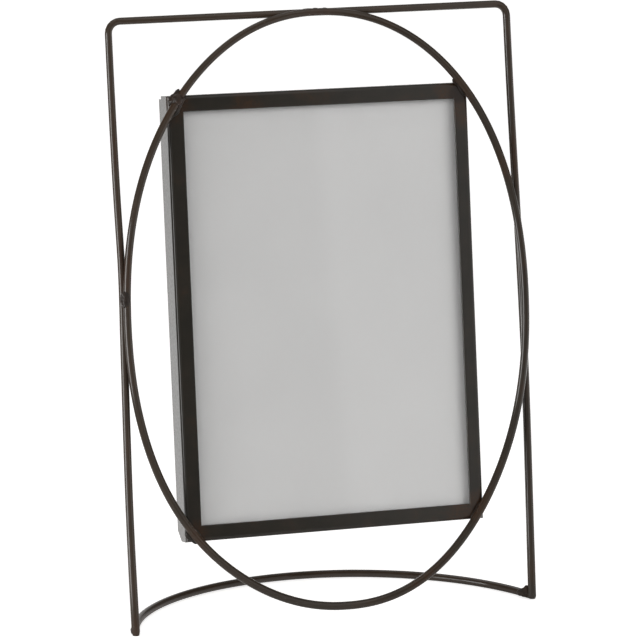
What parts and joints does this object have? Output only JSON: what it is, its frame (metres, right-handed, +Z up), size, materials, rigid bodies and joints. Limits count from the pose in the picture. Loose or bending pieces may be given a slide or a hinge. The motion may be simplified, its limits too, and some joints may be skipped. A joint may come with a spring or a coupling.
{
  "type": "photo frame",
  "caption": "Leaning wire-stand photo frame: a glazed rectangular metal box welded behind an oval wire, on a wire hoop with a rear foot arc. Turn clips hold the back.",
  "frame": {"origin": "bottom centre of the whole frame's box, on the surface that it stands on", "axes": "+Z up, the picture faces -Y and leans back towards +Y, +X to the viewer's right"},
  "size_m": [0.186, 0.076, 0.2572],
  "materials": {
    "antique_iron": "satin dark brown-black patina",
    "weld_metal": "rough, under the same patina",
    "clear_glass": "clear, polished",
    "blank_card": "matte pale grey",
    "hardboard": "matte brown",
    "plated_steel": "dull plated"
  },
  "bodies": {
    "frame": {"outer_hoop": "antique_iron", "oval_hoop": "antique_iron", "foot_arc": "antique_iron", "weld_top": "weld_metal", "weld_side_left": "weld_metal", "weld_side_right": "weld_metal", "weld_foot_left": "weld_metal", "weld_foot_right": "weld_metal", "weld_corner_top_left": "weld_metal", "weld_corner_top_right": "weld_metal", "weld_corner_bottom_left": "weld_metal", "weld_corner_bottom_right": "weld_metal", "rail_left": "antique_iron", "rail_right": "antique_iron", "rail_top": "antique_iron", "rail_bottom": "antique_iron", "glass_pane": "clear_glass", "photo_insert": "blank_card", "backing_board": "hardboard", "rivet_top_left": "plated_steel", "rivet_top_right": "plated_steel", "rivet_bottom_left": "plated_steel", "rivet_bottom_right": "plated_steel"},
    "turn_clip_top_left": {"clip_top_left": "plated_steel"},
    "turn_clip_top_right": {"clip_top_right": "plated_steel"},
    "turn_clip_bottom_left": {"clip_bottom_left": "plated_steel"},
    "turn_clip_bottom_right": {"clip_bottom_right": "plated_steel"}
  },
  "joints": [
    {"name": "clip_top_left_turn", "type": "hinge", "parent": "frame", "child": "turn_clip_top_left", "pos_m": [-0.038, -0.00154, 0.213], "axis": [0, 0.9925, -0.1219], "range_deg": [-90, 90]},
    {"name": "clip_top_right_turn", "type": "hinge", "parent": "frame", "child": "turn_clip_top_right", "pos_m": [0.038, -0.00154, 0.213], "axis": [0, 0.9925, -0.1219], "range_deg": [-90, 90]},
    {"name": "clip_bottom_left_turn", "type": "hinge", "parent": "frame", "child": "turn_clip_bottom_left", "pos_m": [-0.038, -0.02212, 0.04536], "axis": [0, 0.9925, -0.1219], "range_deg": [-90, 90]},
    {"name": "clip_bottom_right_turn", "type": "hinge", "parent": "frame", "child": "turn_clip_bottom_right", "pos_m": [0.038, -0.02212, 0.04536], "axis": [0, 0.9925, -0.1219], "range_deg": [-90, 90]}
  ]
}
